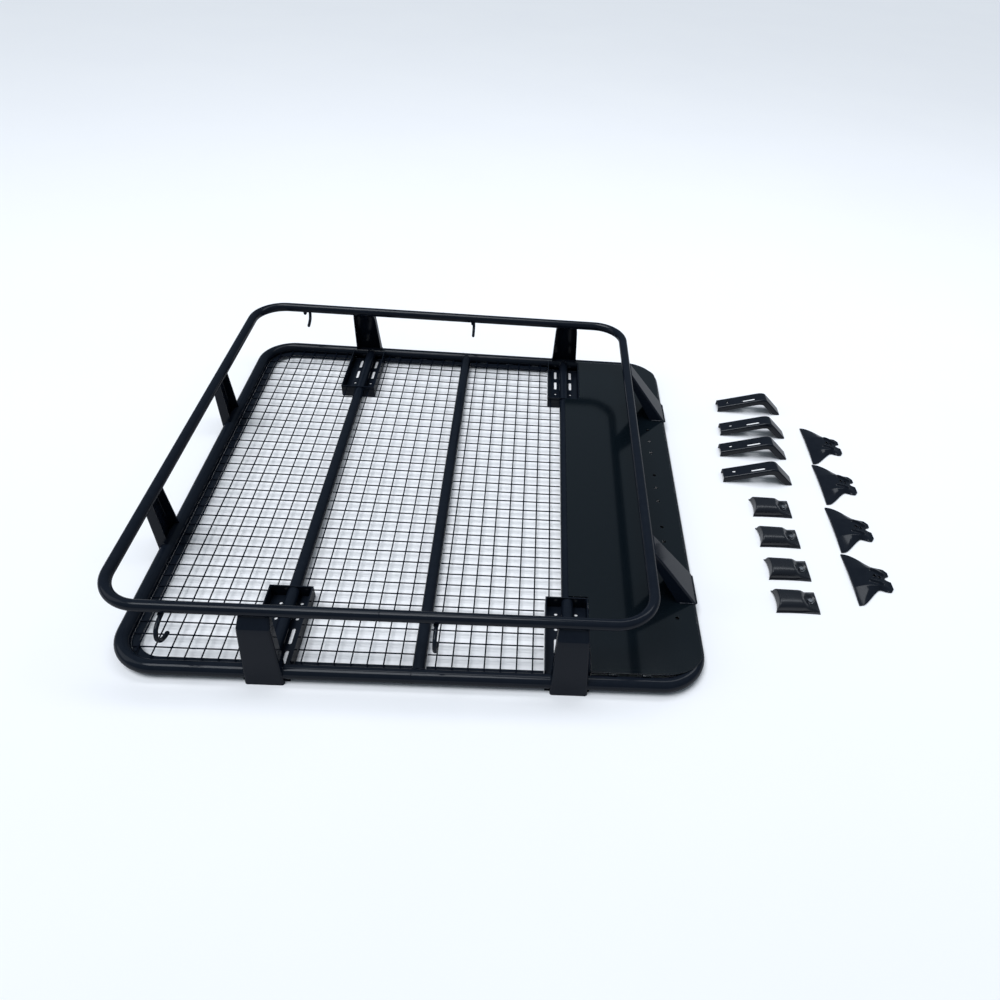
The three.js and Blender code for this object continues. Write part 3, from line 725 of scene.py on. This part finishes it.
def upright(name, rail_inset, matrix, node_name):
    """Folded upright over the frame's tube, notched under the rail and welded to both."""
    knee, head = -rail_inset + RAIL_R + 17, -rail_inset + 9
    made = shape([folded([
        (BASE_R + 6, 0, *UPRIGHT_FOOT), (knee, KNEE_Z, *UPRIGHT_KNEE),
        (head, RAIL_Z - 10, *UPRIGHT_HEAD),
    ], 0.12)], matrix)
    cut(made, [
        rod_part("x", -160, 160, (0, 0, BASE_Z), BASE_R + 0.2, 48),
        box_part((-160, -60, -5), (160, BASE_R - 2, BASE_Z)),
        rod_part("x", -160, 160, (0, -rail_inset, RAIL_Z), RAIL_R + 0.2, 48),
    ], matrix)
    softened(made, 0.6)
    welds = []
    for side in (-1, 1):
        u = side * 38.6
        welds.append(bead(arc((u, 0, BASE_Z), BASE_R + 0.9, 18, 92, "yz", 14), 1.9))
        u = side * 29.5
        welds.append(bead(arc((u, -rail_inset, RAIL_Z), RAIL_R + 0.6, -118, -52, "yz", 10), 1.5))
    across = RAIL_R * 0.6
    welds.append(bead([(-24, -rail_inset + across, RAIL_Z - RAIL_R * 0.85),
                       (24, -rail_inset + across, RAIL_Z - RAIL_R * 0.85)], 1.7))
    extended(made, welds, matrix)
    finished(made, name, "basket", "frame_paint", node_name)


for place, x in zip(("rear", "front"), UPRIGHT_X):
    for side, sign, turn in (("left", 1, 0), ("right", -1, 180)):
        upright(f"upright_{side}_{place}_fold", BASE_Y - RAIL_Y,
                placed(x, sign * BASE_Y, 0, turn), f"upright_{side}_{place}")
for side, y in zip(("right", "left"), REAR_UPRIGHT_Y):
    upright(f"upright_rear_{side}_fold", BASE_X + RAIL_REAR,
            placed(-BASE_X, y, 0, 90), f"upright_rear_{side}")

for side, sign in (("right", -1), ("left", 1)):
    matrix = placed(BASE_X, sign * STRUT_Y, 0, -90)
    rail_v = RAIL_FRONT - BASE_X
    foot = (BASE_R - 1.5, BASE_Z + 14, *STRUT_FOOT)
    head = (rail_v + RAIL_R + 3, RAIL_Z - 1, *STRUT_HEAD)
    middle = tuple((a + b) / 2 for a, b in zip(foot, head))
    made = shape([folded([foot, middle, head], 0.2)], matrix)
    cut(made, [
        rod_part("x", -200, 200, (0, 0, BASE_Z), BASE_R + 0.2, 48),
        box_part((-200, -200, 0), (200, 8.5, PANEL_Z + PANEL_T + 0.2)),
        rod_part("x", -200, 200, (0, rail_v, RAIL_Z), RAIL_R + 0.2, 48),
    ], matrix)
    softened(made, 0.6)
    welds = [bead([(-46, 15.6, BASE_Z + 12.2), (46, 15.6, BASE_Z + 12.2)], 2.2)]
    for end in (-1, 1):
        u = end * 52.4
        welds.append(bead([(u, 8, PANEL_Z + PANEL_T + 1), (u, -28, PANEL_Z + PANEL_T + 1)], 1.9))
        u = end * 30
        welds.append(bead(arc((u, rail_v, RAIL_Z), RAIL_R + 0.6, -70, 0, "yz", 10), 1.5))
    extended(made, welds, matrix)
    finished(made, f"front_strut_{side}_fold", "basket", "frame_paint", f"front_strut_{side}")

# ------------------------------------------------------------------ mounting trays


def mounting_tray(name, tube_x, matrix, node_name):
    """Slotted channel with an end wall round the cross-tube and a tongue under the frame."""
    half, end = TRAY_W / 2, BASE_Y - BASE_R - GAP
    outline = fold_section(half, TRAY_H, SMALL_FOLD_R)
    rings = [[(across, y, inward) for across, inward in outline]
             for y in (TRAY_INNER, TRAY_INNER + 60, end)]
    made = shape([loft(rings)], matrix)
    cutters = []
    for x in (-SLOT_X, SLOT_X):
        for y0, y1 in SLOT_SPANS:
            cutters.append(slot_part(x, y0 + 4, x, y1 - 4, SLOT_W / 2, -2, SHEET + 2))
        for y in TRAY_HOLES:
            cutters.append(rod_part("z", -2, SHEET + 2, (x, y, 0), SLOT_W / 2, 24))
    cut(made, cutters, matrix)
    softened(made, 0.5)
    wall = shape([box_part((-half + 3.2, TRAY_INNER, 3.2),
                           (half - 3.2, TRAY_INNER + SHEET, TRAY_H))], matrix)
    cut(wall, [
        rod_part("y", TRAY_INNER - 5, TRAY_INNER + 9, (tube_x, 0, BASE_Z), CROSS_R + 0.2, 40),
    ], matrix)
    softened(wall, 0.5)
    tongue = shape([box_part((-half + 1, end - 1, 0),
                             (half - 1, BASE_Y + 11, SHEET - 0.1))], matrix)
    softened(tongue, 0.6)
    joined(made, (wall, tongue))
    welds = []
    for start, end_angle in ((150, 215), (-35, 30)):
        seam = arc((tube_x, TRAY_INNER - 0.4, BASE_Z), CROSS_R + 0.8, start, end_angle, "xz", 20)
        welds.append(bead(seam, 1.7))
    for x in (-half + 4.4, half - 4.4):
        welds.append(bead([(x, TRAY_INNER + 4, 6), (x, TRAY_INNER + 4, TRAY_H - 2)], 1.6))
        welds.append(bead([(x, end - 3, 4.2), (x * 0.5, end - 3, 4.2)], 1.8))
    extended(made, welds, matrix)
    finished(made, name, "basket", "frame_paint", node_name)


for place, x, tube_x in zip(("rear", "front"), TRAY_X, (CROSS_X[0], CROSS_X[2])):
    mounting_tray(f"mount_tray_left_{place}_fold", tube_x - x, placed(x),
                  f"mount_tray_left_{place}")
    mounting_tray(f"mount_tray_right_{place}_fold", x - tube_x, placed(x, 0, 0, 180),
                  f"mount_tray_right_{place}")

# ------------------------------------------------------------------ tie-down hooks


def smooth_path(points, per_span=8):
    """Smooth curve through all points."""
    points = [Vector(p) for p in points]
    ends = [points[0] * 2 - points[1], *points, points[-1] * 2 - points[-2]]
    path = []
    for a, b, c, d in zip(ends, ends[1:], ends[2:], ends[3:]):
        path += [spline(a, b, c, d, k / per_span) for k in range(per_span)]
    return path + [points[-1]]


for i, (x, side) in enumerate(HOOKS):
    matrix = placed(x, side * RAIL_Y, RAIL_Z - RAIL_R - HOOK_R - 0.2, 0 if side > 0 else 180)
    path = smooth_path([(0, out, down) for out, down in HOOK_PROFILE])
    radii = [HOOK_R] * len(path)
    direction = (path[-1] - path[-2]).normalized()
    tip = path[-1]
    for step, share in ((1.8, 0.92), (3.2, 0.7), (4.1, 0.42), (4.5, 0.12)):
        path.append(tip + direction * step)
        radii.append(HOOK_R * share)
    parts = [swept(path, radii, 18)]
    for edge in (-1, 1):
        across = edge * HOOK_R * 0.8
        parts.append(bead([(across, -3, 3.6), (across, 12, 3.6)], 1.9))
    finished(shape(parts, matrix), f"tie_hook_{i + 1}_rod", "basket", "frame_paint",
             f"tie_hook_{i + 1}")

# ------------------------------------------------------------------ kit: bent arms


def bent_arm(name, body, matrix, node_name):
    """Folded channel that rises, bends over and runs down to its tip."""
    slope = (ARM_TOP - ARM_START) / ARM_RUN
    # Stations of the top face and of the flange's free edge below it: x, z, edge x, edge z.
    stations = [
        (0, ARM_START, 0, 0), (6, ARM_START + 6 * slope, 6, 0.3),
        (60, ARM_START + 60 * slope, 57, 15), (ARM_RUN - 2, ARM_TOP, ARM_RUN - 9, ARM_TOP - 19),
        (ARM_TIP - 26, 25.5, ARM_TIP - 42, 18), (ARM_TIP, 0.8, ARM_TIP - 19, 0.2),
    ]
    rounded = stations[:2] + eased(stations[2:], 0.24)
    rings = []
    for x, z, ex, ez in rounded:
        inward = Vector((ex - x, 0, ez - z))
        depth = inward.length
        inward.normalize()
        rings.append([Vector((x, across, z)) + inward * deep
                      for across, deep in fold_section(ARM_HALF, depth, SMALL_FOLD_R)])
    made = shape([loft(rings)], matrix)
    cut(made, [
        slot_part(ARM_SLOT_X[0], ARM_SLOT_Y, ARM_SLOT_X[1], ARM_SLOT_Y, SLOT_HALF, 20, 70),
        rod_part("z", 12, 40, (ARM_HOLE_X, 0, 0), HOLE_R, 28),
    ], matrix)
    softened(made, 0.5)
    finished(made, name, body, "kit_paint", node_name)


for i, (x, y) in enumerate(ARM_PLACES):
    bent_arm(f"roof_arm_{i + 1}_fold", f"arm_{i + 1}", placed(x, y), f"roof_arm_{i + 1}")

# ------------------------------------------------------------------ kit: moulded covers


def cover_ramp(x):
    """Height of the lower part that falls towards the bolt end."""
    return 17.5 - 11.5 * smoothstep(58, 118, x)


def cover_skin(x):
    """One ring of the hood at a station, from one lip to the other."""
    waist = 1.6 * math.sin(math.pi * x / COVER_L)
    from_rear, from_front = x, COVER_L - x
    rise = 1 - (1 - min(1.0, (from_rear + 0.4) / 7)) ** 3
    rise *= 1 - (1 - min(1.0, (from_front + 0.4) / 4)) ** 3
    lip = COVER_HALF - waist
    body = lip - 3.4 - 1.6 * smoothstep(58, 84, x)
    ring = [(-lip, 0.3), (-lip + 0.2, 2.2), (-body - 0.9, 2.5)]
    count = 40
    for k in range(count + 1):
        y = body * math.sin(math.pi / 2 * (2 * k / count - 1))
        across = abs(y / body)
        ramp = cover_ramp(x)
        pillow = (COVER_H - 1.2 * across ** 2 - 0.9 * ((x - 38) / 38) ** 2) - ramp
        pillow *= 1 - smoothstep(60 + 7 * across ** 2, 78 + 9 * across ** 2, x)
        height = COVER_LIP_Z + (ramp + max(0.0, pillow) - COVER_LIP_Z) * rise
        z = COVER_LIP_Z + (height - COVER_LIP_Z) * max(0.0, 1 - across ** 4) ** (1 / 2.6)
        away = math.hypot(x - POCKET_X, y * 0.92)
        bowl = ramp - POCKET_DEPTH + 9.0 * max(0.0, (away - 11.5) / 8) ** 2
        if away < POCKET_R and rise > 0.2:
            z = min(z, bowl)
        ring.append((y, z))
    ring += [(body + 0.9, 2.5), (lip - 0.2, 2.2), (lip, 0.3)]
    return ring


def skin(rings, matrix):
    """Open sheet through rings of equal length, its outer side up."""
    size = len(rings[0])
    faces = []
    for i in range(len(rings) - 1):
        for k in range(size - 1):
            a = i * size + k
            faces.append([a, a + size, a + size + 1, a + 1])
    return shape([([p for ring in rings for p in ring], faces)], matrix)


def thickened(made, thickness):
    """Gives a sheet its wall, on its inner side."""
    modifier = made.modifiers.new("wall", "SOLIDIFY")
    modifier.thickness = thickness * MM
    modifier.offset = -1.0
    settle(made)


def foot_cover(name, body, matrix, node_name):
    """Thin moulded hood with a hollow rear edge."""
    rings = []
    rows = 84
    for i in range(rows + 1):
        station = COVER_L * i / rows
        hollow = 5.0 * (1 - station / COVER_L) ** 4
        rings.append([(station + hollow * (1 - (y / COVER_HALF) ** 2), y, z)
                      for y, z in cover_skin(station)])
    made = skin(rings, matrix)
    thickened(made, COVER_WALL)
    finished(made, name, body, "cover_plastic", node_name, angle=50)


def cover_bolt(name, body, matrix, node_name):
    """Hexagon bolt on a plain washer in the cover's pocket."""
    base = cover_ramp(POCKET_X) - POCKET_DEPTH
    seat, centre = base + WASHER_T, (POCKET_X, 0, 0)
    washer = shape([rod_part("z", base, seat, centre, WASHER_R)], matrix)
    softened(washer, 0.35)
    head = shape([rod_part("z", seat, seat + HEAD_H, centre, HEAD_R, 6),
                  rod_part("z", base - 6, base, centre, SHANK_R, 24)], matrix)
    softened(head, 0.7, 3)
    joined(washer, [head])
    finished(washer, name, body, "bolt_zinc", node_name)


for i, (x, y) in enumerate(COVER_PLACES):
    foot_cover(f"foot_cover_{i + 1}_shell", f"cover_{i + 1}", placed(x, y),
               f"foot_cover_{i + 1}")
    cover_bolt(f"cover_bolt_{i + 1}_hex", f"cover_{i + 1}", placed(x, y),
               f"cover_bolt_{i + 1}")

# ------------------------------------------------------------------ kit: gutter clamps


def clamp_station(x):
    """Edges, folds and rise at a station, smoothed between the listed ones."""
    stations = [CLAMP_STATIONS[0], *CLAMP_STATIONS, CLAMP_STATIONS[-1]]
    for k in range(1, len(stations) - 2):
        a, b, c, d = stations[k - 1:k + 3]
        if x <= c[0] or k == len(stations) - 3:
            t = (x - b[0]) / (c[0] - b[0])
            return [spline(*values, t) for values in zip(a[1:], b[1:], c[1:], d[1:])]


def to_segment(x, y, start, end):
    """Distance from a point to the line between two others."""
    (x0, y0), (x1, y1) = start, end
    t = ((x - x0) * (x1 - x0) + (y - y0) * (y1 - y0)) / ((x1 - x0) ** 2 + (y1 - y0) ** 2)
    t = min(1.0, max(0.0, t))
    return math.hypot(x - x0 - t * (x1 - x0), y - y0 - t * (y1 - y0))


def clamp_height(x, y, near, near_fold, far_fold, far, share):
    """Pressed crown with soft folds, and two ribs that stand on it."""
    inward = min((y - near) / (near_fold - near), (far - y) / (far - far_fold), 1.0)
    z = CLAMP_T + CLAMP_RISE * max(0.0, share) * max(0.0, inward)
    for start, end in CLAMP_RIBS:
        z += CLAMP_RIB_H * (1 - smoothstep(1.2, 4.6, to_segment(x, y, start, end)))
    return z


def gutter_clamp(name, body, matrix, node_name):
    """Pressed sheet with a notched tip and a raised rim round each hole."""
    rows, columns = 88, 96
    rings = []
    for i in range(rows + 1):
        x = CLAMP_STATIONS[-1][0] * i / rows
        station = clamp_station(x)
        near, far = station[0], station[3]
        across = [near + (far - near) * k / columns for k in range(columns + 1)]
        rings.append([(x, y, clamp_height(x, y, *station)) for y in across])
    made = skin(rings, matrix)
    thickened(made, CLAMP_T - 0.3)
    notch = loft([[(x, y, z) for x, y in CLAMP_NOTCH] for z in (-8, 30)])
    holes = [rod_part("z", -8, 30, (x, y, 0), HOLE_R, 28) for x, y in CLAMP_HOLES]
    cut(made, [notch, *holes], matrix)
    softened(made, 0.5, 2, 50)
    collars = []
    for hole_x, hole_y in CLAMP_HOLES:
        rim = []
        for x, y, _ in arc((hole_x, hole_y, 0), HOLE_R + 0.7, 0, 345, "xy", 23):
            rim.append((x, y, clamp_height(x, y, *clamp_station(x)) + 0.1))
        collars.append(swept(rim, 1.1, 10, closed=True))
    extended(made, collars, matrix)
    finished(made, name, body, "kit_paint", node_name, angle=45)


for i, (x, y) in enumerate(CLAMP_PLACES):
    gutter_clamp(f"gutter_clamp_{i + 1}_pressing", f"clamp_{i + 1}", placed(x, y),
                 f"gutter_clamp_{i + 1}")

# ------------------------------------------------------------------ studio

scene = bpy.context.scene
scene.view_settings.view_transform = "Standard"
scene.view_settings.look = "None"

FLOOR_REACH, FLOOR_Z = 40000, -0.3
COOL_WHITE = (0.90, 0.95, 1.0)

floor = shape([([(x * FLOOR_REACH, y * FLOOR_REACH, FLOOR_Z)
                 for x, y in ((-1, -1), (1, -1), (1, 1), (-1, 1))], [[0, 1, 2, 3]])], HOME)
floor.name = "studio_floor"
floor_paint = bpy.data.materials.new("studio_floor")
floor_paint.use_nodes = True
floor_tree = floor_paint.node_tree
floor_shader = floor_tree.nodes["Principled BSDF"]
floor_shader.inputs["Roughness"].default_value = 0.9
floor_shader.inputs["Specular IOR Level"].default_value = 0.1
floor_place = floor_tree.nodes.new("ShaderNodeTexCoord")
floor_cloud = node(floor_tree, "ShaderNodeTexNoise", Scale=1.4, Detail=3.0)
floor_tree.links.new(floor_place.outputs["Object"], floor_cloud.inputs["Vector"])
floor_mix = floor_tree.nodes.new("ShaderNodeMix")
floor_mix.data_type = "RGBA"
floor_mix.inputs["A"].default_value = (0.89, 0.87, 0.88, 1.0)
floor_mix.inputs["B"].default_value = (0.92, 0.90, 0.90, 1.0)
floor_tree.links.new(floor_cloud.outputs["Fac"], floor_mix.inputs["Factor"])
floor_tree.links.new(floor_mix.outputs["Result"], floor_shader.inputs["Base Color"])
floor.data.materials.append(floor_paint)

world = bpy.data.worlds.new("studio")
scene.world = world
world.use_nodes = True
backdrop = world.node_tree.nodes["Background"]
backdrop.inputs["Color"].default_value = (0.72, 0.87, 1.0, 1.0)
backdrop.inputs["Strength"].default_value = 0.30


def softbox(name, place, target, size, power):
    """Soft area light that faces a target."""
    light = bpy.data.lights.new(name, "AREA")
    light.shape = "RECTANGLE"
    light.size, light.size_y = size
    light.energy = power
    light.color = COOL_WHITE
    made = bpy.data.objects.new(name, light)
    made.location = place
    aim = Vector(target) - Vector(place)
    made.rotation_euler = aim.to_track_quat("-Z", "Y").to_euler()
    scene.collection.objects.link(made)


sky = bpy.data.lights.new("soft_sky", "SUN")
sky.energy = 2.05
sky.angle = math.radians(34)
sky.color = COOL_WHITE
sky_light = bpy.data.objects.new("soft_sky", sky)
sky_light.rotation_euler = Vector((0.25, 0.10, -1.0)).to_track_quat("-Z", "Y").to_euler()
scene.collection.objects.link(sky_light)

softbox("strip", (0.8, 1.2, 3.8), (0.8, 0.2, 0.0), (5.0, 1.0), 62)
softbox("left_side", (-4.2, -0.4, 2.6), (0.0, 0.0, 0.0), (2.4, 3.0), 30)

# The camera stands as it did for the photograph. Degrees about X (0 looks straight down), Y, Z.
CAMERA_TURN = (44.6105, -4.1053, -0.3671)

lens = bpy.data.cameras.new("camera")
lens.lens = 27.164
lens.sensor_width = 36.0
lens.shift_x = -0.06113
lens.shift_y = 0.05872
camera = bpy.data.objects.new("camera", lens)
camera.location = (-0.0536, -1.5989, 1.3601)
camera.rotation_euler = [math.radians(angle) for angle in CAMERA_TURN]
scene.collection.objects.link(camera)
scene.camera = camera
